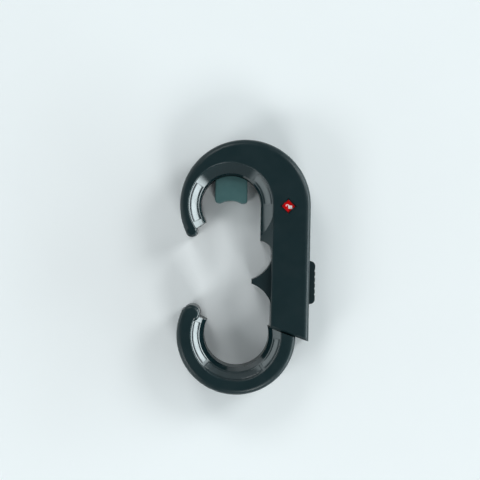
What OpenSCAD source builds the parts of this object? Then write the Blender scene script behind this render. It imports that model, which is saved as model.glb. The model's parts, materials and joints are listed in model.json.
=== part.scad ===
// Cabinet safety lock: a round head with a straight leg, and a hook on a toothed arm that slides in the leg.
// Millimetres. The lock lies on its back, front face up, head towards +Y, open side towards -X.
// The origin is below the middle of the outline. The lock is drawn unlocked with the arm home.

/* [Head] */
// Radius of the head's opening at the front face
head_hole_r = 21.3; // [19:0.1:24]
// Width of the head's limb where it is narrowest, on the open side
head_limb_w = 4.7; // [4.2:0.1:5.4]
// How far the upright lip at the back of the head's opening stands in
head_lip_in = 5.8; // [5:0.1:6.6]
// Angle below the horizontal at which the head's tip ends
head_tip_deg = 35; // [28:1:40]

/* [Hook] */
// Radius of the hook's opening at the front face
hook_hole_r = 22.8; // [20:0.1:26]
// Width of the hook's limb, and of the arm
limb_w = 7.6; // [7:0.1:9]
// How far the upright lip at the back of the hook's opening stands in
hook_lip_in = 6; // [5.2:0.1:6.8]
// Angle above the horizontal at which the hook's tip ends
hook_tip_deg = 25; // [18:1:32]
// Distance between the centres of head and hook with the arm home
hole_span = 66.4; // [60:0.1:76]

/* [Housing] */
// Depth of the lock from the back to the front face
depth = 24; // [23.4:0.1:26]
// Wall thickness of the shells
wall = 2; // [1.6:0.1:2.2]
// Radius of the outer edge at the front
front_edge_r = 3; // [2:0.1:3.4]
// Radius of the outer edge at the back
back_edge_r = 1.6; // [1:0.1:2.4]
// Radius of the edge round each opening
rim_edge_r = 0.9; // [0.5:0.1:1.2]
// Slope of the wall round each opening
dish_deg = 42; // [36:1:55]
// Height at which front and rear shells meet
split_z = 12; // [10.5:0.1:13]
// Room in the leg between its inner face and the arm
inner_room = 5.3; // [4.6:0.1:6.2]
// Slant of the leg's end
slant_deg = 19; // [16:0.5:24]

/* [Toothed arm] */
// Number of tooth steps in the arm's travel
travel_steps = 12; // [8:1:12]
// Distance from tooth to tooth
tooth_pitch = 3; // [2.8:0.05:3]
// Height of the teeth above the arm's face
tooth_h = 1.8; // [1.5:0.05:1.9]
// Running clearance of the arm in its guides
arm_fit = 0.15; // [0.1:0.05:0.25]

/* [Buttons] */
// Travel of each button between unlocked and locked
button_stroke = 3.4; // [3.2:0.05:3.4]
// Length of the buttons along the leg
button_len = 22; // [20:0.1:23]
// How far the outer button stands out of the leg when unlocked
outer_stand = 3; // [2:0.1:4]
// How far the inner button's crest stands out of the leg when unlocked
inner_stand = 10; // [8:0.1:11]
// Clearance of the buttons in their windows
button_fit = 0.3; // [0.2:0.05:0.4]
// Number of catch teeth on each yoke
catch_count = 4; // [3:1:4]

/* [Indicator] */
// Half diagonal of the diamond window
window_half = 3.3; // [2.8:0.1:3.4]
// Flag travel for each millimetre of button travel
flag_ratio = 2; // [1.9:0.05:2]

/* [Hidden] */
$fn = 96;

// Overrun of every cut past the face that it opens
over = 1;
// Length that reaches past the whole lock, for cutting planes
far = 150;

// Leg: room, arm and room side by side
riser_t = 1.1;
riser_play = 0.35;
riser_pocket = 0.5;
riser_gap = 0.25;
outer_room = riser_play + riser_t + button_stroke + riser_gap - riser_pocket + wall;
leg_w = inner_room + limb_w + outer_room;

// Head and hook, from the centre of the head
head_r = head_hole_r + (leg_w + head_limb_w) / 2;
head_hole_shift = (leg_w - head_limb_w) / 2;
head_lip_r = head_hole_r - head_lip_in;
leg_in_x = head_hole_r - head_hole_shift;
leg_out_x = head_r;
arm_in_x = leg_in_x + inner_room;
arm_out_x = arm_in_x + limb_w;
arm_mid_x = (arm_in_x + arm_out_x) / 2;
hook_shift = hook_hole_r - arm_in_x;
hook_r = hook_hole_r + limb_w;
hook_lip_r = hook_hole_r - hook_lip_in;

// Where the head's centre lies in the frame of the part
outline_left = -(hook_shift + hook_r);
outline_right = head_r + outer_stand;
outline_top = head_r;
outline_bottom = -(hole_span + hook_r);
origin_x = -(outline_left + outline_right) / 2;
origin_y = -(outline_top + outline_bottom) / 2;

// Hollow of the leg
room_in_x = leg_in_x + wall;
room_out_x = leg_out_x - wall;
lip_x = head_lip_r - head_hole_shift;
hook_y = -hole_span;

// Slanted end of the leg, and the hook's shoulder parallel to it
leg_end_drop = 2.4;
shoulder_gap = 0.4;
shoulder_deg = 20;
leg_end_y = hook_y + leg_end_drop;
shoulder_y = leg_end_y - shoulder_gap;
end_chamfer = 1.3;
function slant_y(x, y_at_arm) = y_at_arm - tan(slant_deg) * (x - arm_in_x);

// Layers inside the leg, from the back to the front
layer_gap = 0.2;
plate_t = 1.6;
bar_t = 1.6;
spring_room = 1;
inner_plate_z = wall + spring_room;
back_teeth_z = inner_plate_z + plate_t + layer_gap;
arm_back_z = back_teeth_z + tooth_h;
bar_top_gap = 0.3;
bar_z = depth - wall - bar_top_gap - bar_t;
outer_plate_z = bar_z - bar_top_gap - plate_t;
front_teeth_top_z = outer_plate_z - layer_gap;
arm_front_z = front_teeth_top_z - tooth_h;
arm_h = arm_front_z - arm_back_z;

// Teeth of the arm and of the two yokes, across the arm from its middle
travel = travel_steps * tooth_pitch;
tooth_near = 0.2;
tooth_side = 0.4;
tooth_len = limb_w / 2 - tooth_near - tooth_side;
catch_clear = 0.4;
catch_len = button_stroke - catch_clear;
catch_bar = 1.8;
tooth_play = 0.2;
tooth_t = tooth_pitch / 2 - tooth_play;
catch_tip_share = 0.7;
bay_inset = 25;
bay_y = leg_end_y + bay_inset;
rim_gap = 4;
rim_run = -bay_y - button_len / 2 - rim_gap;
comb_half_y = catch_count * tooth_pitch / 2;
nose_margin = 2;
arm_nose_y = bay_y + comb_half_y + travel + nose_margin;
nose_chamfer = 1.2;

// Button bay in the leg
outer_riser_x = arm_out_x + riser_play;
inner_riser_x = arm_in_x - button_fit;
cap_low_z = 6.3;
cap_high_z = depth - cap_low_z;
inner_cap_in = 5.4;
inner_cap_high_z = depth - inner_cap_in;
spring_slot_half = 1.4;
spring_slot_gap = 1.2;
spring_slot_end = 2;
yoke_high_y = comb_half_y + spring_slot_gap + 2 * spring_slot_half + spring_slot_end;
yoke_low_y = -yoke_high_y;
inner_yoke_inset = 1.2;
crest_half = 1.1;
flank_r = 16;
cap_corner_r = 2.5;
grip_count = 5;
grip_pitch = 3;
grip_r = 0.7;

// Return springs, each in a slot of its yoke between the slot's end and a post of the shell
spring_y = bay_y - comb_half_y - spring_slot_gap - spring_slot_half;
spring_end_wall = 1.3;
spring_space = 3.4;
spring_od = 2.2;
spring_wire = 0.36;
spring_turns = 5;
post_t = 1.4;
post_play = 0.2;
spring_seat_gap = 0.05;
outer_post_x = outer_riser_x - spring_end_wall - spring_space - post_t;
inner_post_x = inner_riser_x + spring_end_wall + spring_space;

// Indicator: bar, slanted slot and flag
window_shift = -1.15;
window_x = arm_mid_x + window_shift;
bar_shift = 0.15;
bar_x = arm_mid_x + bar_shift;
lens_step = 0.8;
lens_fit = 0.05;
lens_sink = 0.3;
flag_stroke = flag_ratio * button_stroke;
flag_w = 2 * window_half + 1;
flag_t = 0.7;
tile_play = 0.1;
tile_h = flag_stroke - tile_play;
carrier_t = bar_t - flag_t;
bar_w = 3;
bar_play = 0.2;
drive_r = 0.9;
drive_fit = 0.06;
drive_gap = 0.6;
drive_y = bay_y + comb_half_y + drive_gap + drive_r;
drive_depth = plate_t + bar_top_gap - layer_gap;
slot_wall = 1.2;
outer_high_y = drive_y - bay_y + flag_stroke + drive_r + slot_wall;

// Ribs that guide the arm, the clip and the flags, one above the other from the mouth up
clip_len = 6.6;
clip_gap = 0.7;
rib_t = 1.6;
bay_rib_gap = 1;
upper_rib_gap = 0.2;
flag_rib_gap = 0.95;
stop_inset = 8.3;
stop_y = leg_end_y + stop_inset;
mouth_rib_y = stop_y - rib_t;
bay_rib_y = bay_y + yoke_low_y - bay_rib_gap - rib_t / 2;
upper_rib_y = bay_y + outer_high_y + upper_rib_gap + rib_t / 2;
detent_y = upper_rib_y + rib_t / 2 + clip_gap + clip_len / 2;
flag_rib_y = detent_y + clip_len / 2 + clip_gap + rib_t / 2;
carrier_low_y = flag_rib_y + rib_t / 2 + flag_rib_gap;
window_y = carrier_low_y + tile_h / 2 + flag_stroke;
guide_rib_ys = [mouth_rib_y, bay_rib_y, upper_rib_y, flag_rib_y];

// Detent clip beside the bar
detent_depth = 0.7;
detent_half = 1;
clip_t = 0.3;
clip_h = 1.4;
clip_play = 0.08;
clip_block = 1.6;

// Bosses and screws of the head
boss_r = 2.5;
screw_head_r = 1.9;
screw_head_h = 1.4;
screw_shank_r = 0.9;
screw_fit = 0.05;
screw_pass = 0.25;
counterbore_depth = 2;
screw_len = 15;
head_screw_degs = [51, 97];
head_screw_in = 6.7;
leg_screw_in = 3.9;
leg_screw_rise = 1.9;
leg_screw_x = leg_out_x - leg_screw_in;
leg_screw_ys = [detent_y + boss_r, leg_end_y + leg_screw_rise];
head_screw_places = [for (a = head_screw_degs) (head_r - head_screw_in) * [cos(a), sin(a)],
    for (y = leg_screw_ys) [leg_screw_x, y]];
screw_slot_share = 0.7;
screw_slot_w_share = 0.5;
screw_slot_depth_share = 0.6;
cavity_share = 0.57;
cavity_limit_x = -head_r * cavity_share;
mouth_wall = 4.2;
room_low_y = leg_end_y + mouth_wall;

// Stop pin, half in each shell, with its nose in a groove of the arm
stop_r = 1.4;
stop_bite = 1.4;
stop_fit = 0.12;
stop_seat = 2.4;

// Openings: upright lip at the back, seat, and a wall that slopes up to the front edge
head_seat_rise = 1;
head_seat_in = 0.8;
head_lip_h = lip_height(head_lip_in, head_seat_in, head_seat_rise);
hook_seat_rise = 3;
hook_seat_in = 2;
hook_lip_h = lip_height(hook_lip_in, hook_seat_in, hook_seat_rise);
function lip_height(lip_in, seat_in, seat_rise) =
    depth - rim_edge_r - (lip_in - seat_in) * tan(dish_deg) - seat_rise;
seam_w = 0.5;
seam_d = 0.35;

// Hook: hollow limb, tongue of the arm, pins and screws
limb_wall = 2;
limb_in_r = hook_hole_r + limb_wall;
limb_out_r = hook_r - limb_wall;
limb_mid_r = (hook_hole_r + hook_r) / 2;
tongue_deg = 26;
tongue_fit = 0.1;
tongue_end_deg = 1;
tongue_run_deg = 16;
neck_deg = 10;
tongue_wall_deg = 6;
arm_pin_r = 1.1;
arm_pin_degs = [-8, -19];
arm_pin_margin = 4;
hook_screw_degs = [168, 232, 296];
hook_boss_deg = 9;
hook_tip_r = 4.4;
hook_tip_in = 1.2;

// Liner strips on the sloping walls
liner_t = 0.9;
liner_recess = 0.7;
liner_margin = 0.5;
liner_side_fit = 0.05;
head_left_liner_degs = [148, 58];
head_right_liner_degs = [2, 48];
hook_left_liner_degs = [162, 59];
hook_right_liner_degs = [312, 44];
hook_bottom_liner_degs = [225, 84];

// Grip pad in the head's opening
pad_half_w = 8.4;
pad_low_y = 1;
pad_arch_r = 11;
pad_arch_rise = 1.4;
pad_low_z = 1.5;
pad_high_z = 14;
pad_tongue_half = 4;
pad_tongue_in = 2.4;
pad_tongue_low_z = 4;
pad_tongue_high_z = 9;
pad_fit = 0.05;
pad_tongue_share = 0.6;

// Colours
charcoal = [0.12, 0.165, 0.185];
soft_grey = [0.25, 0.37, 0.38];
gloss_dark = [0.2, 0.24, 0.25];
natural = [0.85, 0.84, 0.8];
steel = [0.7, 0.71, 0.72];
red = [0.75, 0.02, 0.05];
green = [0.05, 0.55, 0.2];

// Moves a piece from the head's centre to its place in the frame
module place() {
    translate([origin_x, origin_y, 0])
        children();
}

// Half section of a round body, radius against height, with both outer edges rounded
module edge_profile(r, front_r, back_r) {
    square([r - front_r, depth]);
    square([r - back_r, depth - front_r]);
    translate([0, back_r])
        square([r, depth - front_r - back_r]);
    translate([r - front_r, depth - front_r])
        circle(front_r);
    translate([r - back_r, back_r])
        circle(back_r);
}

// Half section of an opening: lip at the back, seat, sloping wall and rounded front edge
module opening_profile(lip_r, lip_h, seat_in, seat_rise, hole_r) {
    difference() {
        polygon([[0, -over], [lip_r, -over], [lip_r, lip_h], [lip_r + seat_in, lip_h + seat_rise],
            [hole_r, depth - rim_edge_r], [hole_r + rim_edge_r, depth - rim_edge_r],
            [hole_r + rim_edge_r, depth + over], [0, depth + over]]);
        translate([hole_r + rim_edge_r, depth - rim_edge_r])
            circle(rim_edge_r);
    }
}

module head_opening_profile() {
    opening_profile(head_lip_r, head_lip_h, head_seat_in, head_seat_rise, head_hole_r);
}

module hook_opening_profile() {
    opening_profile(hook_lip_r, hook_lip_h, hook_seat_in, hook_seat_rise, hook_hole_r);
}

// Plain inner wall of the leg below the sloping rim
module leg_wall_profile() {
    opening_profile(head_hole_r, head_lip_h, 0, head_seat_rise, head_hole_r);
}

// Draws a section in x and z along -Y
module along_leg(from_y, to_y) {
    translate([0, from_y, 0])
        rotate([90, 0, 0])
            linear_extrude(from_y - to_y)
                children();
}

// Everything below the slanted line through the arm's inner edge at y_at_arm
module below_slant(y_at_arm) {
    translate([0, 0, -over])
        linear_extrude(depth + 2 * over)
            polygon([[-far, slant_y(-far, y_at_arm)], [far, slant_y(far, y_at_arm)],
                [far, -2 * far], [-far, -2 * far]]);
}

module seam_profile(r) {
    translate([r - seam_d, split_z - seam_w / 2])
        square([seam_d + over, seam_w]);
}

// Solid outline of head and leg with its opening cut
module head_block() {
    difference() {
        union() {
            rotate_extrude(angle = 180 + head_tip_deg, $fn = 180)
                edge_profile(head_r, front_edge_r, back_edge_r);
            along_leg(0, slant_y(leg_out_x, leg_end_y) - over)
                edge_profile(head_r, front_edge_r, back_edge_r);
        }
        translate([-head_hole_shift, 0, 0])
            rotate_extrude($fn = 180)
                head_opening_profile();
        translate([-head_hole_shift, 0, 0]) {
            along_leg(0, -rim_run)
                head_opening_profile();
            along_leg(-rim_run, -far)
                leg_wall_profile();
        }
        translate([lip_x, -rim_run, -over])
            cylinder(r = leg_in_x - lip_x, h = depth + 2 * over);
        head_mouth();
        below_slant(leg_end_y);
        end_bevel();
        seam_ring();
    }
    head_tip();
}

// Removes the open side below the head's tip
module head_mouth() {
    translate([-head_hole_shift, 0, -over])
        linear_extrude(depth + 2 * over)
            polygon([[0, 0], [-far * cos(head_tip_deg), -far * sin(head_tip_deg)], [-far, -far], [0, -far]]);
}

// Radius from the opening's centre to the outside of the head, along the tip's cut
tip_cos = cos(head_tip_deg);
tip_sin = sin(head_tip_deg);
tip_reach = -head_hole_shift * tip_cos
    + sqrt(head_r * head_r - pow(head_hole_shift * tip_sin, 2));
tip_half = (tip_reach - head_hole_r) / 2;
tip_front_share = 0.48;
tip_back_share = 0.4;
tip_mid_r = (tip_reach + head_hole_r) / 2;

// Rounded end of the head's limb
module head_tip() {
    translate([-head_hole_shift - tip_mid_r * tip_cos, -tip_mid_r * tip_sin, 0])
        rotate_extrude($fn = 64)
            edge_profile(tip_half, tip_half * tip_front_share, tip_half * tip_back_share);
}

// Bevel along the front edge of the leg's slanted end
module end_bevel() {
    translate([arm_in_x, leg_end_y, depth])
        rotate([0, 0, -slant_deg])
            rotate([45, 0, 0])
                cube([far, end_chamfer * sqrt(2), end_chamfer * sqrt(2)], center = true);
}

// Fine groove where the two shells meet
module seam_ring() {
    rotate_extrude(angle = 180 + head_tip_deg, $fn = 180)
        seam_profile(head_r);
    along_leg(0, -far)
        seam_profile(head_r);
}

// Hollow of head and leg
module head_room() {
    translate([0, 0, wall])
        linear_extrude(depth - 2 * wall) {
            difference() {
                circle(head_r - wall, $fn = 180);
                translate([-head_hole_shift, 0])
                    circle(head_hole_r + wall, $fn = 180);
                translate([-far, -2 * far])
                    square([2 * far, 2 * far]);
                translate([cavity_limit_x - far, -far])
                    square([far, 2 * far]);
            }
            translate([room_in_x, room_low_y])
                square([room_out_x - room_in_x, -room_low_y]);
        }
}

// Section of the arm with both rows of teeth, grown by a clearance
module arm_section(grow) {
    translate([arm_in_x - grow, arm_back_z - grow])
        square([arm_out_x - arm_in_x + 2 * grow, arm_h + 2 * grow]);
    translate([arm_mid_x + tooth_near - grow, arm_front_z - over])
        square([tooth_len + 2 * grow, tooth_h + grow + over]);
    translate([arm_mid_x - tooth_near - tooth_len - grow, back_teeth_z - grow])
        square([tooth_len + 2 * grow, tooth_h + grow + over]);
}

module arm_passage() {
    along_leg(0, -far)
        arm_section(arm_fit);
}

// Channel of the indicator bar through the guide ribs
module bar_channel() {
    translate([bar_x - bar_w / 2 - bar_play, -far / 2, bar_z - bar_play])
        cube([bar_w + 2 * bar_play, far / 2, depth - wall - bar_z + bar_play + over]);
}

// Ribs, bosses and posts inside the shells
module head_inside() {
    difference() {
        union() {
            for (y = guide_rib_ys)
                translate([room_in_x, y - rib_t / 2, wall])
                    cube([room_out_x - room_in_x, rib_t, depth - 2 * wall]);
            stop_boss();
        }
        arm_passage();
        difference() {
            bar_channel();
            translate([-far, -far, 0])
                cube([2 * far, far + room_low_y, depth - wall]);
        }
    }
    for (p = head_screw_places)
        translate([p[0], p[1], wall])
            cylinder(r = boss_r, h = depth - 2 * wall);
}

module stop_boss() {
    translate([arm_out_x + arm_fit, stop_y - stop_seat, split_z - stop_seat])
        cube([room_out_x - arm_out_x - arm_fit, 2 * stop_seat, 2 * stop_seat]);
}

// Windows of the two buttons in the walls of the leg
module button_windows() {
    translate([room_out_x - over, bay_y - button_len / 2 - button_fit, cap_low_z - button_fit])
        cube([far, button_len + 2 * button_fit, cap_high_z - cap_low_z + 2 * button_fit]);
    translate([-far / 4, bay_y - button_len / 2 - button_fit, inner_plate_z - button_fit])
        cube([room_in_x + far / 4 + over, button_len + 2 * button_fit,
            inner_cap_high_z - inner_plate_z + 2 * button_fit]);
}

// Shallow pocket in the outer wall that the outer yoke's flange comes to rest in
module riser_room() {
    translate([room_out_x - over, bay_y + yoke_low_y - button_fit, arm_back_z - button_fit])
        cube([over + riser_pocket, outer_high_y - yoke_low_y + 2 * button_fit,
            outer_plate_z + plate_t - arm_back_z + 2 * button_fit]);
}

module diamond(half, h) {
    linear_extrude(h)
        polygon([[-half, 0], [0, -half], [half, 0], [0, half]]);
}

module window_opening() {
    translate([window_x, window_y, depth - wall - over])
        diamond(window_half, wall + 2 * over);
    translate([window_x, window_y, depth - wall / 2])
        diamond(window_half + lens_step, wall);
}

// Recess of one liner strip, or the strip itself: outer skin at a height above the sloping wall
module liner_section(seat_r, seat_h, hole_r, low, high, side) {
    run = [hole_r - seat_r, depth - rim_edge_r - seat_h];
    len = norm(run);
    t = run / len;
    n = [-t[1], t[0]];
    a = [seat_r, seat_h] + t * (liner_margin + side);
    b = [hole_r, depth - rim_edge_r] - t * (liner_margin + side);
    polygon([a + n * low, b + n * low, b + n * high, a + n * high]);
}

module head_liner(angles, low, high, side) {
    trim = side / head_hole_r * 180 / PI;
    translate([-head_hole_shift, 0, 0])
        rotate([0, 0, angles[0] + trim])
            rotate_extrude(angle = angles[1] - 2 * trim, $fn = 180)
                liner_section(head_lip_r + head_seat_in, head_lip_h + head_seat_rise, head_hole_r,
                    low, high, side);
}

module hook_liner(angles, low, high, side) {
    trim = side / hook_hole_r * 180 / PI;
    translate([-hook_shift, hook_y, 0])
        rotate([0, 0, angles[0] + trim])
            rotate_extrude(angle = angles[1] - 2 * trim, $fn = 180)
                liner_section(hook_lip_r + hook_seat_in, hook_lip_h + hook_seat_rise, hook_hole_r,
                    low, high, side);
}

module head_liner_recesses() {
    head_liner(head_left_liner_degs, -liner_recess, over, 0);
    head_liner(head_right_liner_degs, -liner_recess, over, 0);
}

// Pocket in the lip for the tongue of the grip pad
module pad_pocket(grow) {
    translate([-head_hole_shift - pad_tongue_half - grow, 0, pad_tongue_low_z - grow])
        cube([2 * pad_tongue_half + 2 * grow, head_lip_r + pad_tongue_in + grow,
            pad_tongue_high_z - pad_tongue_low_z + 2 * grow]);
}

// Both shells in one, before they are parted
module head_case() {
    difference() {
        head_block();
        head_room();
        arm_passage();
        button_windows();
        riser_room();
        head_liner_recesses();
        pad_pocket(pad_fit);
        stop_pin_seat();
        for (p = head_screw_places)
            translate([p[0], p[1], -over])
                cylinder(r = screw_head_r + screw_pass, h = counterbore_depth + over);
    }
    difference() {
        head_inside();
        stop_pin_seat();
        for (p = head_screw_places)
            translate([p[0], p[1], -over])
                cylinder(r = screw_head_r + screw_pass, h = counterbore_depth + over);
    }
}

module stop_pin_seat() {
    translate([arm_out_x - stop_bite, stop_y, split_z])
        rotate([0, 90, 0])
            cylinder(r = stop_r, h = room_out_x - arm_out_x + stop_bite);
}

module head_front_shell() {
    color(charcoal)
        place()
            difference() {
                union() {
                    intersection() {
                        head_case();
                        translate([-far, -far, split_z])
                            cube([2 * far, 2 * far, far]);
                    }
                    spring_post(outer_post_x, outer_plate_z, depth - wall);
                    clip_seat();
                }
                window_opening();
                for (p = head_screw_places)
                    translate([p[0], p[1], split_z - over])
                        cylinder(r = screw_shank_r + screw_fit, h = screw_len - split_z + 2 * over);
            }
}

module head_rear_shell() {
    color(charcoal)
        place() {
            difference() {
                intersection() {
                    head_case();
                    translate([-far, -far, -over])
                        cube([2 * far, 2 * far, split_z + over]);
                }
                for (p = head_screw_places)
                    translate([p[0], p[1], -over])
                        cylinder(r = screw_shank_r + screw_pass, h = split_z + 2 * over);
            }
            spring_post(inner_post_x, wall, inner_plate_z + plate_t);
        }
}

// Post of a shell in a yoke's spring slot
module spring_post(x, low_z, high_z) {
    translate([x, spring_y - spring_slot_half + post_play, low_z])
        cube([post_t, 2 * (spring_slot_half - post_play), high_z - low_z]);
}

module screw(len) {
    half = screw_head_r * screw_slot_share;
    difference() {
        cylinder(r = screw_head_r, h = screw_head_h, $fn = 48);
        for (a = [0, 90])
            rotate([0, 0, a])
                translate([-half, -screw_shank_r * screw_slot_w_share / 2, -over])
                    cube([2 * half, screw_shank_r * screw_slot_w_share,
                        over + screw_head_h * screw_slot_depth_share]);
    }
    translate([0, 0, screw_head_h])
        cylinder(r = screw_shank_r, h = len - screw_head_h, $fn = 32);
}

module housing_screws() {
    color(steel)
        place()
            for (p = head_screw_places)
                translate([p[0], p[1], counterbore_depth - screw_head_h])
                    screw(screw_len - counterbore_depth);
}

module window_lens() {
    color([0.8, 0.1, 0.1, 0.6])
        place() {
            translate([window_x, window_y, depth - wall])
                diamond(window_half - lens_fit, wall / 2);
            translate([window_x, window_y, depth - wall / 2])
                diamond(window_half + lens_step - lens_fit, wall / 2 - lens_sink);
        }
}

module head_grip_pad() {
    color(soft_grey)
        place() {
            difference() {
                intersection() {
                    translate([-head_hole_shift, 0, pad_low_z])
                        cylinder(r = head_lip_r, h = pad_high_z - pad_low_z, $fn = 180);
                    translate([-head_hole_shift - pad_half_w, pad_low_y, pad_low_z])
                        cube([2 * pad_half_w, head_lip_r, pad_high_z - pad_low_z]);
                }
                translate([-head_hole_shift, pad_low_y + pad_arch_rise - pad_arch_r, pad_low_z - over])
                    cylinder(r = pad_arch_r, h = far, $fn = 96);
            }
            intersection() {
                difference() {
                    pad_pocket(0);
                    translate([-far, -far, -over])
                        cube([2 * far, far + head_lip_r * pad_tongue_share, far]);
                }
                translate([-head_hole_shift, 0, 0])
                    cylinder(r = head_lip_r + pad_tongue_in, h = far, $fn = 180);
            }
        }
}

module head_liner_left() {
    color(gloss_dark)
        place()
            head_liner(head_left_liner_degs, -liner_recess, liner_t - liner_recess, liner_side_fit);
}

module head_liner_right() {
    color(gloss_dark)
        place()
            head_liner(head_right_liner_degs, -liner_recess, liner_t - liner_recess, liner_side_fit);
}

module stop_pin() {
    color(steel)
        place()
            translate([arm_out_x - stop_bite + stop_fit, stop_y, split_z])
                rotate([0, 90, 0])
                    cylinder(r = stop_r, h = room_out_x - arm_out_x + stop_bite - stop_fit, $fn = 48);
}

// Points of a coil along +X from the origin, and the tube swept along them
function coil_point(a, turns, len, r) = [len * a / (360 * turns), r * cos(a), r * sin(a)];

module coil_spring(len, r, wire_r, turns) {
    rings_per_turn = 12;
    sides = 6;
    steps = turns * rings_per_turn;
    rings = [for (i = [0 : steps]) let (
            a = 360 * i / rings_per_turn,
            p = coil_point(a, turns, len, r),
            out = [0, cos(a), sin(a)])
        [for (k = [0 : sides - 1]) let (b = -360 * k / sides)
            p + wire_r * (cos(b) * out + sin(b) * [1, 0, 0])]];
    points = [for (ring = rings) each ring];
    walls = [for (i = [0 : steps - 1], k = [0 : sides - 1]) let (
            j = (k + 1) % sides, a = i * sides, b = (i + 1) * sides)
        each [[a + k, a + j, b + j], [a + k, b + j, b + k]]];
    low = [for (k = [1 : sides - 2]) [0, k + 1, k]];
    last = steps * sides;
    high = [for (k = [1 : sides - 2]) [last, last + k, last + k + 1]];
    polyhedron(points, concat(walls, low, high), convexity = 10);
}

// Spring between a post face and the slot end, with its coil inside both
module return_spring(x, z) {
    coil_r = (spring_od - spring_wire) / 2;
    end = spring_wire / 2 + spring_seat_gap;
    translate([x + end, spring_y, z])
        coil_spring(spring_space - 2 * end, coil_r, spring_wire / 2, spring_turns);
}

module outer_spring() {
    color(steel)
        place()
            return_spring(outer_post_x + post_t, outer_plate_z + spring_od / 2);
}

module inner_spring() {
    color(steel)
        place()
            return_spring(inner_riser_x + spring_end_wall, inner_plate_z + plate_t - spring_od / 2);
}

// Row of catch teeth, pointing along +X from a bar that starts at x = 0
module catch_comb(h) {
    first = -(catch_count - 1) / 2;
    linear_extrude(h)
        for (i = [0 : catch_count - 1])
            translate([0, (first + i) * tooth_pitch])
                polygon([[-catch_bar, -tooth_t / 2], [0, -tooth_t / 2],
                    [catch_len, -tooth_t / 2 * catch_tip_share], [catch_len, tooth_t / 2 * catch_tip_share],
                    [0, tooth_t / 2], [-catch_bar, tooth_t / 2]]);
}

// Where the bar of a comb starts, from the middle of the arm, when unlocked
comb_u = button_stroke;

// Yoke in its own frame: x runs from the middle of the arm towards its button
module yoke_plate(reach, low_y, high_y) {
    difference() {
        translate([-comb_u - catch_bar, low_y, 0])
            cube([comb_u + catch_bar + reach, high_y - low_y, plate_t]);
        translate([reach - spring_end_wall - spring_space - post_t - button_stroke - post_play,
            spring_y - bay_y - spring_slot_half, -over])
            cube([spring_space + post_t + button_stroke + post_play, 2 * spring_slot_half, plate_t + 2 * over]);
    }
}

module yoke_comb(h) {
    translate([-comb_u, 0, 0]) {
        catch_comb(h);
        translate([-catch_bar, -comb_half_y, 0])
            cube([catch_bar, 2 * comb_half_y, h]);
    }
}

outer_reach = outer_riser_x - arm_mid_x;
inner_reach = arm_mid_x - inner_riser_x;

module outer_yoke() {
    color(natural)
        place()
            translate([arm_mid_x, bay_y, 0]) {
                difference() {
                    translate([0, 0, outer_plate_z])
                        yoke_plate(outer_reach, yoke_low_y, outer_high_y);
                    drive_slot();
                }
                translate([0, 0, front_teeth_top_z - tooth_h + layer_gap])
                    yoke_comb(outer_plate_z - arm_front_z - layer_gap);
                translate([outer_reach, yoke_low_y, arm_back_z])
                    cube([riser_t, yoke_high_y - yoke_low_y, outer_plate_z + plate_t - arm_back_z]);
                translate([outer_reach, yoke_low_y, outer_plate_z])
                    cube([riser_t, outer_high_y - yoke_low_y, plate_t]);
            }
}

// Slanted slot that drives the bar's pin, in the yoke's frame
module drive_slot() {
    from = [bar_shift, drive_y - bay_y];
    to = from + [-button_stroke, flag_stroke];
    dir = (to - from) / norm(to - from);
    side = [-dir[1], dir[0]];
    r = drive_r + drive_fit;
    translate([0, 0, outer_plate_z - over])
        linear_extrude(plate_t + 2 * over) {
            polygon([from + side * r, from - side * r, to - side * r, to + side * r]);
            translate(from)
                circle(r, $fn = 48);
            translate(to)
                circle(r, $fn = 48);
        }
}

module inner_yoke() {
    color(natural)
        place()
            translate([arm_mid_x, bay_y, 0])
                mirror([1, 0, 0]) {
                    translate([0, 0, inner_plate_z])
                        yoke_plate(inner_reach, yoke_low_y + inner_yoke_inset, yoke_high_y - inner_yoke_inset);
                    translate([0, 0, inner_plate_z + plate_t])
                        yoke_comb(arm_back_z - layer_gap - inner_plate_z - plate_t);
                    translate([inner_reach, yoke_low_y + inner_yoke_inset, inner_plate_z])
                        cube([riser_t, yoke_high_y - yoke_low_y - 2 * inner_yoke_inset,
                            arm_front_z - layer_gap - inner_plate_z]);
                }
}

module outer_button() {
    back_x = outer_riser_x + riser_t;
    face_x = leg_out_x + outer_stand;
    half = button_len / 2;
    color(charcoal)
        place()
            translate([0, bay_y, cap_low_z])
                difference() {
                    linear_extrude(cap_high_z - cap_low_z) {
                        translate([back_x, -half])
                            square([face_x - cap_corner_r - back_x, 2 * half]);
                        translate([back_x, -half + cap_corner_r])
                            square([face_x - back_x, 2 * (half - cap_corner_r)]);
                        for (s = [-1, 1])
                            translate([face_x - cap_corner_r, s * (half - cap_corner_r)])
                                circle(cap_corner_r, $fn = 64);
                    }
                    for (i = [0 : grip_count - 1])
                        translate([face_x + grip_r / 2, (i - (grip_count - 1) / 2) * grip_pitch, -over])
                            cylinder(r = grip_r, h = far, $fn = 32);
                }
}

// Plan of the inner button: a crest between two hollow flanks
module crest_plan(base_x, crest_x, half) {
    p = [crest_x, crest_half];
    q = [leg_in_x, half];
    mid = (p + q) / 2;
    d = norm(q - p);
    out = [-(q[1] - p[1]), q[0] - p[0]] / d;
    c = mid + out * sqrt(flank_r * flank_r - d * d / 4);
    difference() {
        polygon([[base_x, -half], [base_x, half], [leg_in_x, half], [crest_x, half], [crest_x, -half],
            [leg_in_x, -half]]);
        for (s = [-1, 1])
            translate([c[0], s * c[1]])
                circle(flank_r, $fn = 128);
    }
}

module inner_button() {
    color(charcoal)
        place()
            translate([0, bay_y, inner_plate_z])
                linear_extrude(inner_cap_high_z - inner_plate_z)
                    crest_plan(inner_riser_x - riser_t, leg_in_x - inner_stand, button_len / 2);
}

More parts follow.
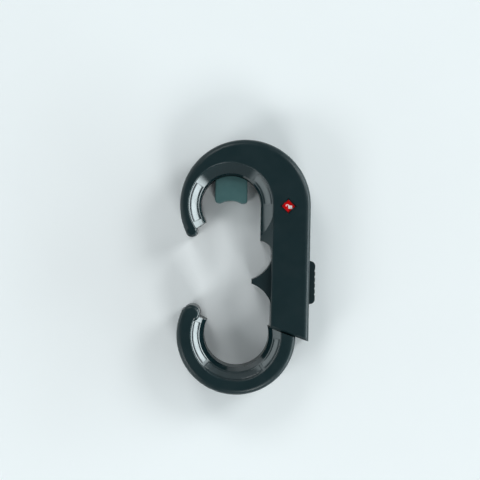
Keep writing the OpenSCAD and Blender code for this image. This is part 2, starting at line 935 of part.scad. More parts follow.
module indicator_bar() {
    bar_low_y = drive_y - drive_r - slot_wall;
    color(natural)
        place() {
            difference() {
                translate([bar_x - bar_w / 2, bar_low_y, bar_z]) {
                    cube([bar_w, carrier_low_y - bar_low_y, bar_t]);
                    cube([bar_w, carrier_low_y - bar_low_y + over, carrier_t]);
                }
                for (dy = [0, -flag_stroke])
                    translate([bar_x + bar_w / 2, detent_y + dy, bar_z - over])
                        linear_extrude(bar_t + 2 * over)
                            polygon([[over, -detent_half - over], [over, detent_half + over],
                                [-detent_depth, 0]]);
            }
            translate([window_x - flag_w / 2, carrier_low_y, bar_z])
                cube([flag_w, flag_stroke + tile_h, carrier_t]);
            translate([bar_x, drive_y, bar_z - drive_depth])
                cylinder(r = drive_r, h = drive_depth, $fn = 48);
        }
}

module flag_tile(y) {
    translate([window_x - flag_w / 2, y - tile_h / 2, bar_z + carrier_t])
        cube([flag_w, tile_h, flag_t]);
}

module red_flag() {
    color(red)
        place()
            flag_tile(window_y);
}

module green_flag() {
    color(green)
        place()
            flag_tile(window_y - flag_stroke);
}

// Steel leaf beside the bar, with a bump in the bar's notch
module detent_clip() {
    x = bar_x + bar_w / 2 + clip_play;
    color(steel)
        place()
            translate([x, detent_y, bar_z])
                linear_extrude(clip_h)
                    polygon([[0, -clip_len / 2], [clip_t, -clip_len / 2], [clip_t, -detent_half],
                        [clip_t - detent_depth / 2, 0], [clip_t, detent_half], [clip_t, clip_len / 2],
                        [0, clip_len / 2], [0, detent_half], [-detent_depth / 2, 0], [0, -detent_half]]);
}

// Block of the front shell that the leaf's ends are held against
module clip_seat() {
    x = bar_x + bar_w / 2 + clip_play + clip_t;
    for (s = [-1, 1])
        translate([x, detent_y + s * (clip_len - clip_block) / 2 - clip_block / 2, bar_z])
            cube([clip_block, clip_block, depth - wall - bar_z]);
}

// Solid outline of the hook with its opening cut
module hook_block() {
    difference() {
        translate([-hook_shift, hook_y, 0])
            rotate([0, 0, 180 - hook_tip_deg])
                rotate_extrude(angle = 180 + hook_tip_deg + shoulder_deg, $fn = 180)
                    difference() {
                        edge_profile(hook_r, front_edge_r, back_edge_r);
                        hook_opening_profile();
                        seam_profile(hook_r);
                    }
        above_shoulder();
    }
    hook_tip();
}

module above_shoulder() {
    translate([0, 0, -over])
        linear_extrude(depth + 2 * over)
            polygon([[-hook_shift, slant_y(-hook_shift, shoulder_y)], [far, slant_y(far, shoulder_y)],
                [far, far], [-hook_shift, far]]);
}

module hook_tip() {
    mid_r = limb_mid_r - hook_tip_in;
    translate([-hook_shift - mid_r * cos(hook_tip_deg), hook_y + mid_r * sin(hook_tip_deg), 0])
        rotate_extrude($fn = 64)
            edge_profile(hook_tip_r, hook_tip_r * tip_front_share, back_edge_r);
}

// Ring sector of the hook's limb, from one angle over a sweep
module limb_sector(start, sweep, in_r, out_r, low_z, high_z) {
    translate([-hook_shift, hook_y, 0])
        rotate([0, 0, start])
            rotate_extrude(angle = sweep, $fn = 180)
                translate([in_r, low_z])
                    square([out_r - in_r, high_z - low_z]);
}

// Hollow of the limb between the screw bosses
module hook_room() {
    starts = [for (a = hook_screw_degs) a + hook_boss_deg];
    ends = [hook_screw_degs[1] - hook_boss_deg, hook_screw_degs[2] - hook_boss_deg, 
        360 - tongue_deg - tongue_wall_deg];
    for (i = [0 : len(starts) - 1])
        limb_sector(starts[i], ends[i] - starts[i], limb_in_r, limb_out_r, wall, depth - wall);
}

module tongue_pocket() {
    limb_sector(-tongue_deg - tongue_end_deg, tongue_deg + tongue_run_deg, limb_in_r - tongue_fit, limb_out_r + tongue_fit,
        arm_back_z - tongue_fit, arm_front_z + tongue_fit);
}

module hook_liner_recesses() {
    hook_liner(hook_left_liner_degs, -liner_recess, over, 0);
    hook_liner(hook_right_liner_degs, -liner_recess, over, 0);
    hook_liner(hook_bottom_liner_degs, -liner_recess, over, 0);
}

module hook_case() {
    difference() {
        hook_block();
        hook_room();
        tongue_pocket();
        hook_liner_recesses();
        at_arm_pins()
            cylinder(r = arm_pin_r + screw_fit, h = depth - 2 * arm_pin_margin, $fn = 48);
        at_hook_screws(-over)
            cylinder(r = screw_head_r + screw_pass, h = counterbore_depth + over);
    }
}

module at_arm_pins() {
    for (a = arm_pin_degs)
        translate([-hook_shift + limb_mid_r * cos(a), hook_y + limb_mid_r * sin(a), arm_pin_margin])
            children();
}

module at_hook_screws(z) {
    for (a = hook_screw_degs)
        translate([-hook_shift + limb_mid_r * cos(a), hook_y + limb_mid_r * sin(a), z])
            children();
}

module hook_front_cover() {
    color(charcoal)
        place()
            difference() {
                intersection() {
                    hook_case();
                    translate([-far, -far, split_z])
                        cube([2 * far, 2 * far, far]);
                }
                at_hook_screws(split_z - over)
                    cylinder(r = screw_shank_r + screw_fit, h = screw_len - split_z + 2 * over);
            }
}

module hook_rear_frame() {
    color(charcoal)
        place()
            difference() {
                intersection() {
                    hook_case();
                    translate([-far, -far, -over])
                        cube([2 * far, 2 * far, split_z + over]);
                }
                at_hook_screws(-over)
                    cylinder(r = screw_shank_r + screw_pass, h = split_z + 2 * over);
            }
}

module hook_screws() {
    color(steel)
        place()
            at_hook_screws(counterbore_depth - screw_head_h)
                screw(screw_len - counterbore_depth);
}

module arm_pins() {
    color(steel)
        place()
            at_arm_pins()
                cylinder(r = arm_pin_r, h = depth - 2 * arm_pin_margin, $fn = 48);
}

// Rack bar with a row of teeth on its front and on its back
module toothed_arm() {
    first_y = bay_y - comb_half_y;
    count = travel_steps + catch_count + 1;
    color(natural)
        place() {
            difference() {
                union() {
                    translate([arm_in_x, 2 * hook_y, arm_back_z])
                        cube([arm_out_x - arm_in_x, arm_nose_y - 2 * hook_y, arm_h]);
                    for (i = [0 : count - 1])
                        translate([0, first_y + i * tooth_pitch - tooth_t / 2, 0]) {
                            translate([arm_mid_x + tooth_near, 0, arm_front_z - layer_gap])
                                cube([tooth_len, tooth_t, tooth_h + layer_gap]);
                            translate([arm_mid_x - tooth_near - tooth_len, 0, back_teeth_z])
                                cube([tooth_len, tooth_t, tooth_h + layer_gap]);
                        }
                }
                below_slant(shoulder_y);
                stop_groove();
                nose_cut();
            }
            difference() {
                limb_sector(-tongue_deg, tongue_deg + neck_deg, limb_in_r, limb_out_r, arm_back_z, arm_front_z);
                at_arm_pins()
                    cylinder(r = arm_pin_r + screw_fit, h = depth, $fn = 48);
            }
        }
}

module stop_groove() {
    half = stop_r + stop_fit;
    translate([arm_out_x - stop_bite - stop_fit, stop_y - half, split_z - half])
        cube([stop_bite + stop_fit + over, travel + 2 * half, 2 * half]);
}

module nose_cut() {
    for (x = [arm_in_x, arm_out_x])
        translate([x, arm_nose_y, arm_back_z - over])
            rotate([0, 0, 45])
                cube([nose_chamfer * sqrt(2), nose_chamfer * sqrt(2), 2 * (arm_h + 2 * over)], center = true);
}

module hook_liner_left() {
    color(gloss_dark)
        place()
            hook_liner(hook_left_liner_degs, -liner_recess, liner_t - liner_recess, liner_side_fit);
}

module hook_liner_right() {
    color(gloss_dark)
        place()
            hook_liner(hook_right_liner_degs, -liner_recess, liner_t - liner_recess, liner_side_fit);
}

module hook_liner_bottom() {
    color(gloss_dark)
        place()
            hook_liner(hook_bottom_liner_degs, -liner_recess, liner_t - liner_recess, liner_side_fit);
}

head_front_shell();
head_rear_shell();
housing_screws();
window_lens();
head_grip_pad();
head_liner_left();
head_liner_right();
stop_pin();
outer_spring();
inner_spring();
detent_clip();
outer_button();
outer_yoke();
inner_button();
inner_yoke();
indicator_bar();
red_flag();
green_flag();
hook_front_cover();
hook_rear_frame();
hook_screws();
toothed_arm();
arm_pins();
hook_liner_left();
hook_liner_right();
hook_liner_bottom();
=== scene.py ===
"""Looks of a cabinet safety lock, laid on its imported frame: finishes, soft pieces, marks, light and camera."""

import json
import logging
import math
from collections.abc import Callable, Iterable
from dataclasses import dataclass, field
from enum import Enum

import bmesh
import bpy
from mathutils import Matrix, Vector


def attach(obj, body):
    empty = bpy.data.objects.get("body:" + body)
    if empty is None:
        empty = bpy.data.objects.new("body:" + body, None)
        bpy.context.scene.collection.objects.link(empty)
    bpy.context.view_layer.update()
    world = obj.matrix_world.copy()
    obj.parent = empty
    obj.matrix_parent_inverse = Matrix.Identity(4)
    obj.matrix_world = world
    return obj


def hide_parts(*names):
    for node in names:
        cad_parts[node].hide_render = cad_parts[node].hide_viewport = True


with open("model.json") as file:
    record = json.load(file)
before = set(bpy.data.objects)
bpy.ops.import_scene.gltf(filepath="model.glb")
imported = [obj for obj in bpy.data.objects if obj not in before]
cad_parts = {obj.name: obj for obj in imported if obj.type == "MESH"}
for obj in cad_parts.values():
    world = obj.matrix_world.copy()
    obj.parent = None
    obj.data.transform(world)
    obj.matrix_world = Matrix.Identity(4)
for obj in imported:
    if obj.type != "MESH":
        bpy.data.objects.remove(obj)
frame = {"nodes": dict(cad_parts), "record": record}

log = logging.getLogger("cabinet_lock")

Colour = tuple[float, float, float]
Point = tuple[float, float, float]
Span = tuple[float, float]
Socket = bpy.types.NodeSocket
Node = bpy.types.Node
Piece = bpy.types.Object

MM = 0.001
RISING: Span = (0.0, 1.0)
FALLING: Span = (1.0, 0.0)

# Parts of a noise's range that colour and roughness follow
COLOUR_SPAN: Span = (0.35, 0.7)
ROUGH_SPAN: Span = (0.3, 0.7)

# Both inputs and the output of a mix node, for each kind of value
MIX_PLACES = {"FLOAT": (2, 3, 0), "RGBA": (6, 7, 2)}

# Round this axis the spin operator turns counter-clockwise in a background run
SPIN_AXIS = (0, 0, -1)

# Distances in metres: points that count as one place, and rounding of a computed place
SAME_PLACE = 1e-6
ROUNDING = 1e-9


class Slot(Enum):
    """Material slots of the record, and the hook's own share of the housing's slot."""

    HOUSING = "charcoal_plastic"
    HOOK_HOUSING = "charcoal_plastic_hook"
    BUTTON = "button_plastic"
    ARM = "arm_plastic"
    SLIDER = "natural_acetal"
    PAD = "grip_rubber"
    LINER = "gloss_liner"
    LENS = "clear_lens"
    RED = "red_plastic"
    GREEN = "green_plastic"
    SCREW = "screw_steel"
    SPRING = "spring_steel"


class Body(Enum):
    """Rigid bodies of the frame that new pieces ride on."""

    HEAD = "head"
    HOOK = "hook"
    INDICATOR = "indicator"


def mm(*values: float) -> Vector:
    """Point or vector given in millimetres, in metres.

    Args:
        values: Its parts in millimetres.

    Returns:
        The same in metres.
    """
    return Vector(values) * MM


# Nodes of materials and of the room


class NodeTree:
    """Nodes of a material or a world, with short calls to add and join them."""

    def __init__(self, tree: bpy.types.NodeTree) -> None:
        """Starts on an emptied tree.

        Args:
            tree: Blender's node tree.
        """
        self.tree = tree
        self.tree.nodes.clear()

    def add(self, kind: str, **values: object) -> Node:
        """Adds a node.

        Args:
            kind: Blender's name of the node type.
            values: Attributes of the node, by name.

        Returns:
            The new node.
        """
        node = self.tree.nodes.new(kind)
        for key, value in values.items():
            setattr(node, key, value)
        return node

    def put(self, socket: Socket, value: object) -> None:
        """Joins a socket to an input, or sets the input's own value.

        Args:
            socket: The input.
            value: A socket or a plain value.
        """
        if isinstance(value, bpy.types.NodeSocket):
            self.tree.links.new(value, socket)
        else:
            socket.default_value = value

    def feed(self, node: Node, **inputs: object) -> Node:
        """Joins or sets inputs of a node.

        Args:
            node: Node whose inputs are set.
            inputs: A socket or a plain value, by the input's name with underscores for spaces.

        Returns:
            The same node.
        """
        for key, value in inputs.items():
            self.put(node.inputs[key.replace("_", " ")], value)
        return node

    def maths(self, operation: str, *values: Socket | float) -> Socket:
        """Sum, product or other operation on values.

        Args:
            operation: Blender's name of the operation.
            values: Sockets or numbers in the node's order.

        Returns:
            Socket with the result.
        """
        node = self.add("ShaderNodeMath", operation=operation)
        for socket, value in zip(node.inputs, values):
            self.put(socket, value)
        return node.outputs[0]

    def ramp(self, value: Socket, span: Span, to: Span, smooth: bool = False) -> Socket:
        """Maps a range of values to another, without passing its ends.

        Args:
            value: Socket to map.
            span: Start and end of the range.
            to: Results at the start and at the end.
            smooth: Whether the map eases in and out.

        Returns:
            Socket with the result.
        """
        kind = "SMOOTHSTEP" if smooth else "LINEAR"
        node = self.add("ShaderNodeMapRange", clamp=True, interpolation_type=kind)
        self.feed(node, Value=value, From_Min=span[0], From_Max=span[1], To_Min=to[0], To_Max=to[1])
        return node.outputs["Result"]

    def parts(self, way: Socket) -> dict[str, Socket]:
        """Parts of a vector.

        Args:
            way: Socket with the vector.

        Returns:
            Sockets of X, Y and Z by name.
        """
        node = self.add("ShaderNodeSeparateXYZ")
        self.put(node.inputs[0], way)
        return {socket.name: socket for socket in node.outputs}

    def choice(self, share: Socket, first: Node, second: Node) -> Socket:
        """Shader between two, by a share.

        Args:
            share: Socket from nought to one.
            first: Shader at nought.
            second: Shader at one.

        Returns:
            Socket with the shader.
        """
        node = self.add("ShaderNodeMixShader")
        for socket, value in zip(node.inputs, (share, first.outputs[0], second.outputs[0])):
            self.put(socket, value)
        return node.outputs[0]


@dataclass(frozen=True)
class Patches:
    """Cloudy noise: size of its patches in millimetres, number of finer layers and their strength."""

    size: float
    layers: float = 3.0
    strength: float = 0.5


class NodeSheet(NodeTree):
    """Material with a principled surface, and patterns that lie on the object's own coordinates."""

    def __init__(self, name: str) -> None:
        """Starts a material.

        Args:
            name: Name of the material.
        """
        self.material = bpy.data.materials.new(name)
        self.material.use_nodes = True
        super().__init__(self.material.node_tree)
        self.out = self.add("ShaderNodeOutputMaterial")
        self.place = self.add("ShaderNodeTexCoord").outputs["Object"]

    def mapped(self, **values: object) -> Socket:
        """Object coordinates that are moved or stretched.

        Args:
            values: Location or Scale along each axis.

        Returns:
            Socket with the coordinates.
        """
        return self.feed(self.add("ShaderNodeMapping"), Vector=self.place, **values).outputs["Vector"]

    def noise(self, patches: Patches, at: Socket | None = None) -> Socket:
        """Cloudy noise.

        Args:
            patches: Its size and layers.
            at: Coordinates, if they aren't the object's own.

        Returns:
            Socket with values round one half.
        """
        node = self.feed(
            self.add("ShaderNodeTexNoise"), Vector=at or self.place, Scale=1 / (patches.size * MM),
            Detail=patches.layers, Roughness=patches.strength,
        )
        return node.outputs["Fac"]

    def cells(self, size: float) -> Socket:
        """Distance to the nearest point of a scattered grid.

        Args:
            size: Size of the cells in millimetres.

        Returns:
            Socket with the distance.
        """
        node = self.feed(self.add("ShaderNodeTexVoronoi"), Vector=self.place, Scale=1 / (size * MM))
        return node.outputs["Distance"]

    def total(self, first: Socket, second: Socket, weight: float) -> Socket:
        """First socket plus a share of the second.

        Args:
            first: Socket taken whole.
            second: Socket taken by the weight.
            weight: Share of the second socket.

        Returns:
            Socket with the total.
        """
        return self.maths("MULTIPLY_ADD", second, weight, first)

    def mix(self, kind: str, share: Socket, first: object, second: object) -> Socket:
        """Number or colour between two, by a share.

        Args:
            kind: FLOAT or RGBA.
            share: Socket from nought to one.
            first: Socket or value at nought.
            second: Socket or value at one.

        Returns:
            Socket with the result.
        """
        node = self.add("ShaderNodeMix", data_type=kind)
        low, high, out = MIX_PLACES[kind]
        for place, value in ((0, share), (low, first), (high, second)):
            self.put(node.inputs[place], value)
        return node.outputs[out]

    def blend(self, value: Socket, span: Span, first: Colour, second: Colour) -> Socket:
        """Colour between two, by a part of a socket's range.

        Args:
            value: The socket.
            span: Start and end of that part.
            first: Colour at the start.
            second: Colour at the end.

        Returns:
            Socket with the colour.
        """
        return self.mix("RGBA", self.ramp(value, span, RISING), (*first, 1), (*second, 1))

    def relief(self, height: Socket, depth: float) -> Socket:
        """Surface normal of a small relief.

        Args:
            height: Socket from nought to one.
            depth: Millimetres between nought and one.

        Returns:
            Socket with the normal.
        """
        node = self.feed(self.add("ShaderNodeBump"), Height=height, Strength=1.0, Distance=depth * MM)
        return node.outputs["Normal"]

    def surface(self, colour: Socket, rough: Socket, normal: Socket, **fixed: object) -> Node:
        """Principled surface, joined to the material's output.

        Args:
            colour: Base colour.
            rough: Roughness.
            normal: Surface normal.
            fixed: Plain values of other inputs, by name with underscores for spaces.

        Returns:
            The shader node.
        """
        node = self.add("ShaderNodeBsdfPrincipled")
        self.feed(node, Base_Color=colour, Roughness=rough, Normal=normal, **fixed)
        self.put(self.out.inputs["Surface"], node.outputs[0])
        return node


# Finishes


@dataclass(frozen=True)
class PolishedWall:
    """Sloping wall of an opening, polished by the mould: a round zone between two heights, in millimetres."""

    x: float
    y: float
    radius: float
    low: float
    high: float = 23.9
    fade: float = 0.25

    def share(self, sheet: NodeSheet) -> Socket:
        """Share of polish, one on the sloping wall and nought elsewhere.

        Args:
            sheet: Node sheet of the material.

        Returns:
            Socket with the share.
        """
        away = sheet.add("ShaderNodeVectorMath", operation="LENGTH")
        sheet.put(away.inputs[0], sheet.mapped(Location=mm(-self.x, -self.y, 0), Scale=(1, 1, 0)))
        inside = sheet.ramp(away.outputs["Value"], self.band(self.radius), FALLING)
        height = sheet.parts(sheet.place)["Z"]
        above = sheet.ramp(height, self.band(self.low), RISING)
        below = sheet.ramp(height, self.band(self.high), FALLING)
        return sheet.maths("MINIMUM", inside, sheet.maths("MINIMUM", above, below))

    def band(self, end: float) -> Span:
        """Narrow band in which the polish comes or goes, in metres.

        Args:
            end: Its end in millimetres.

        Returns:
            Start and end of the band.
        """
        return (end - self.fade) * MM, end * MM


@dataclass(frozen=True)
class Finish:
    """Finish of one kind of material: its name, its colour and the colour of its clouds."""

    name: str
    colour: Colour
    cloud: Colour

    def material(self) -> bpy.types.Material:
        """Builds the material.

        Returns:
            The material.
        """
        sheet = NodeSheet(self.name)
        self.lay(sheet)
        return sheet.material

    def lay(self, sheet: NodeSheet) -> None:
        """Lays the finish on a sheet.

        Args:
            sheet: Node sheet of the material.
        """
        raise NotImplementedError


@dataclass(frozen=True)
class MouldedPlastic(Finish):
    """Matte moulded plastic with a spark-eroded grain, faint cloudiness and handled patches."""

    rough: Span = (0.27, 0.35)
    grain: Patches = Patches(0.22, 2, 0.6)
    grain_depth: float = 0.006
    grain_rough: float = 0.05
    cell_ratio: float = 1.7
    cell_share: float = 0.5
    clouding: Patches = Patches(14, 4, 0.6)
    handling: Patches = Patches(9, 5, 0.65)
    handled_span: Span = (0.4, 0.62)
    shine: float = 0.35
    polished: PolishedWall | None = None
    polish_rough: float = 0.14
    coat_rough: float = 0.07

    def lay(self, sheet: NodeSheet) -> None:
        """Lays the finish on a sheet.

        Args:
            sheet: Node sheet of the material.
        """
        handled = sheet.ramp(sheet.noise(self.handling), self.handled_span, self.rough)
        cells = sheet.cells(self.grain.size * self.cell_ratio)
        grain = sheet.total(sheet.noise(self.grain), cells, self.cell_share)
        rough = sheet.total(handled, grain, self.grain_rough)
        shader = sheet.surface(
            sheet.blend(sheet.noise(self.clouding), COLOUR_SPAN, self.colour, self.cloud),
            rough,
            sheet.relief(grain, self.grain_depth),
            Specular_IOR_Level=self.shine,
            Coat_Roughness=self.coat_rough,
        )
        if self.polished:
            polish = self.polished.share(sheet)
            rough = sheet.mix("FLOAT", polish, rough, self.polish_rough)
            sheet.feed(shader, Roughness=rough, Coat_Weight=polish)


@dataclass(frozen=True)
class SoftRubber(Finish):
    """Dull elastomer with a fine blasted skin and a trace of bloom."""

    rough: Span = (0.34, 0.46)
    clouding: Patches = Patches(6, 5, 0.62)
    bloom_span: Span = (0.35, 0.72)
    grain: Patches = Patches(0.3, 3, 0.6)
    cell_ratio: float = 2.0
    cell_share: float = 0.6
    depth: float = 0.012
    shine: float = 0.4
    coat: float = 0.35
    coat_rough: float = 0.22
    sheen: float = 0.08
    sheen_rough: float = 0.6

    def lay(self, sheet: NodeSheet) -> None:
        """Lays the finish on a sheet.

        Args:
            sheet: Node sheet of the material.
        """
        cloud = sheet.noise(self.clouding)
        cells = sheet.cells(self.grain.size * self.cell_ratio)
        grain = sheet.total(sheet.noise(self.grain), cells, self.cell_share)
        sheet.surface(
            sheet.blend(cloud, self.bloom_span, self.colour, self.cloud),
            sheet.ramp(cloud, ROUGH_SPAN, self.rough),
            sheet.relief(grain, self.depth),
            Coat_Weight=self.coat,
            Coat_Roughness=self.coat_rough,
            Sheen_Weight=self.sheen,
            Sheen_Roughness=self.sheen_rough,
            Specular_IOR_Level=self.shine,
        )


@dataclass(frozen=True)
class NaturalAcetal(Finish):
    """Uncoloured slippery plastic of the sliders, with faint flow bands from the mould."""

    rough: Span = (0.28, 0.42)
    bands: Patches = Patches(3.5, 3, 0.55)
    stretch: Point = (1.0, 0.25, 1.0)
    band_span: Span = (0.35, 0.65)
    skin: Patches = Patches(0.4, 2)
    skin_share: float = 0.3
    depth: float = 0.015

    def lay(self, sheet: NodeSheet) -> None:
        """Lays the finish on a sheet.

        Args:
            sheet: Node sheet of the material.
        """
        bands = sheet.noise(self.bands, sheet.mapped(Scale=self.stretch))
        sheet.surface(
            sheet.blend(bands, self.band_span, self.colour, self.cloud),
            sheet.ramp(bands, ROUGH_SPAN, self.rough),
            sheet.relief(sheet.total(bands, sheet.noise(self.skin), self.skin_share), self.depth),
        )


@dataclass(frozen=True)
class PlatedSteel(Finish):
    """Steel wire, leaf or screw with drawing lines and a thin uneven plating."""

    stretch: Point = (0.3, 0.3, 6.0)
    rough: Span = (0.22, 0.4)
    lines: Patches = Patches(0.8, 4, 0.6)
    line_share: float = 0.08
    plating: Patches = Patches(1.8)
    stain_span: Span = (0.4, 0.7)
    depth: float = 0.006

    def lay(self, sheet: NodeSheet) -> None:
        """Lays the finish on a sheet.

        Args:
            sheet: Node sheet of the material.
        """
        lines = sheet.noise(self.lines, sheet.mapped(Scale=self.stretch))
        plating = sheet.noise(self.plating)
        sheet.surface(
            sheet.blend(plating, self.stain_span, self.colour, self.cloud),
            sheet.total(sheet.ramp(plating, ROUGH_SPAN, self.rough), lines, self.line_share),
            sheet.relief(lines, self.depth),
            Metallic=1.0,
        )


@dataclass(frozen=True)
class EvenSurface(Finish):
    """Even surface of the flags, their marks and the floor, and of the strips, which have a polished coat."""

    rough: Span = (0.2, 0.34)
    clouding: Patches = Patches(2.2, 4, 0.6)
    cloud_span: Span = COLOUR_SPAN
    wave: Patches = Patches(0.6, 2)
    skin: Patches = Patches(0.25, 1)
    skin_share: float = 0.0
    depth: float = 0.006
    shine: float = 0.15
    coat: float = 0.0
    coat_rough: float = 0.08

    def lay(self, sheet: NodeSheet) -> None:
        """Lays the finish on a sheet.

        Args:
            sheet: Node sheet of the material.
        """
        cloud = sheet.noise(self.clouding)
        height = sheet.noise(self.wave)
        if self.skin_share:
            height = sheet.total(height, sheet.noise(self.skin), self.skin_share)
        sheet.surface(
            sheet.blend(cloud, self.cloud_span, self.colour, self.cloud),
            sheet.ramp(cloud, ROUGH_SPAN, self.rough),
            sheet.relief(height, self.depth),
            Specular_IOR_Level=self.shine,
            Coat_Weight=self.coat,
            Coat_Roughness=self.coat_rough,
        )


@dataclass(frozen=True)
class ClearLens(Finish):
    """Clear window that lets the lamps through to the flag under it, and mirrors them only weakly."""

    rough: Span = (0.01, 0.04)
    smear: Patches = Patches(2.5)
    haze_span: Span = (0.4, 0.7)
    skin: Patches = Patches(1.5, 2, 0.4)
    depth: float = 0.002
    refraction: float = 1.2

    def lay(self, sheet: NodeSheet) -> None:
        """Lays the finish on a sheet.

        Args:
            sheet: Node sheet of the material.
        """
        smear = sheet.noise(self.smear)
        glass = sheet.surface(
            sheet.blend(smear, self.haze_span, self.colour, self.cloud),
            sheet.ramp(smear, COLOUR_SPAN, self.rough),
            sheet.relief(sheet.noise(self.skin), self.depth),
            Transmission_Weight=1.0,
            IOR=self.refraction,
        )
        clear = sheet.feed(sheet.add("ShaderNodeBsdfTransparent"), Color=(*self.colour, 1))
        shadow = sheet.add("ShaderNodeLightPath").outputs["Is Shadow Ray"]
        sheet.feed(sheet.out, Surface=sheet.choice(shadow, glass, clear))


@dataclass
class FinishBook:
    """Finish of each material slot, and the materials made from them."""

    finishes: dict[Slot, Finish] = field(
        default_factory=lambda: {
            Slot.HOUSING: MouldedPlastic(
                "matte_housing", (0.005, 0.0168, 0.0198), (0.0068, 0.0195, 0.0228),
                polished=PolishedWall(-8.6, 31.7, 22.1, 17.5),
            ),
            Slot.HOOK_HOUSING: MouldedPlastic(
                "matte_hook_housing", (0.005, 0.0168, 0.0198), (0.0068, 0.0195, 0.0228),
                polished=PolishedWall(-4.8, -34.7, 23.5, 16.5),
            ),
            Slot.BUTTON: MouldedPlastic(
                "fine_button", (0.007, 0.019, 0.0225), (0.0095, 0.0225, 0.0265),
                rough=(0.3, 0.42), grain=Patches(0.16, 2, 0.6),
            ),
            Slot.ARM: MouldedPlastic(
                "satin_arm", (0.009, 0.019, 0.023), (0.012, 0.023, 0.028), rough=(0.26, 0.36), grain_depth=0.004
            ),
            Slot.SLIDER: NaturalAcetal("slider_acetal", (0.74, 0.72, 0.67), (0.68, 0.66, 0.6)),
            Slot.PAD: SoftRubber("grip_rubber_skin", (0.048, 0.122, 0.124), (0.057, 0.136, 0.138)),
            Slot.LINER: EvenSurface(
                "polished_strip", (0.014, 0.026, 0.029), (0.018, 0.031, 0.035), rough=(0.16, 0.26), coat=1.0,
                clouding=Patches(5), wave=Patches(1.6, 2, 0.4), skin_share=0.08, depth=0.02, shine=0.6,
            ),
            Slot.LENS: ClearLens("window_acrylic", (0.97, 0.97, 0.97), (0.93, 0.94, 0.95)),
            Slot.RED: EvenSurface("red_tile", (0.66, 0.0, 0.0), (0.58, 0.0, 0.0)),
            Slot.GREEN: EvenSurface("green_tile", (0.01, 0.33, 0.05), (0.008, 0.28, 0.04)),
            Slot.SCREW: PlatedSteel("zinc_screw", (0.62, 0.62, 0.64), (0.52, 0.53, 0.57)),
            Slot.SPRING: PlatedSteel("spring_wire", (0.5, 0.5, 0.52), (0.42, 0.41, 0.41), (6.0, 0.3, 0.3)),
        }
    )
    made: dict[Slot, bpy.types.Material] = field(default_factory=dict)

    def material(self, slot: Slot) -> bpy.types.Material:
        """Material of a slot, built at its first use.

        Args:
            slot: The material slot.

        Returns:
            The material.
        """
        if slot not in self.made:
            self.made[slot] = self.finishes[slot].material()
        return self.made[slot]

    def dress_nodes(self, nodes: dict[str, Piece], record: dict) -> None:
        """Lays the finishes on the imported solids, by the record's slots.

        Args:
            nodes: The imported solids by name.
            record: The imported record.
        """
        for row in record["subparts"]:
            solid = nodes[row["node"]]
            slot = Slot(row["material_slot"])
            if slot is Slot.HOUSING and solid.name.startswith(Body.HOOK.value):
                slot = Slot.HOOK_HOUSING
            for place in solid.material_slots:
                place.link = "OBJECT"
                place.material = self.material(slot)
            log.info("dressed %s in %s", solid.name, slot.value)


# Modelling by hand


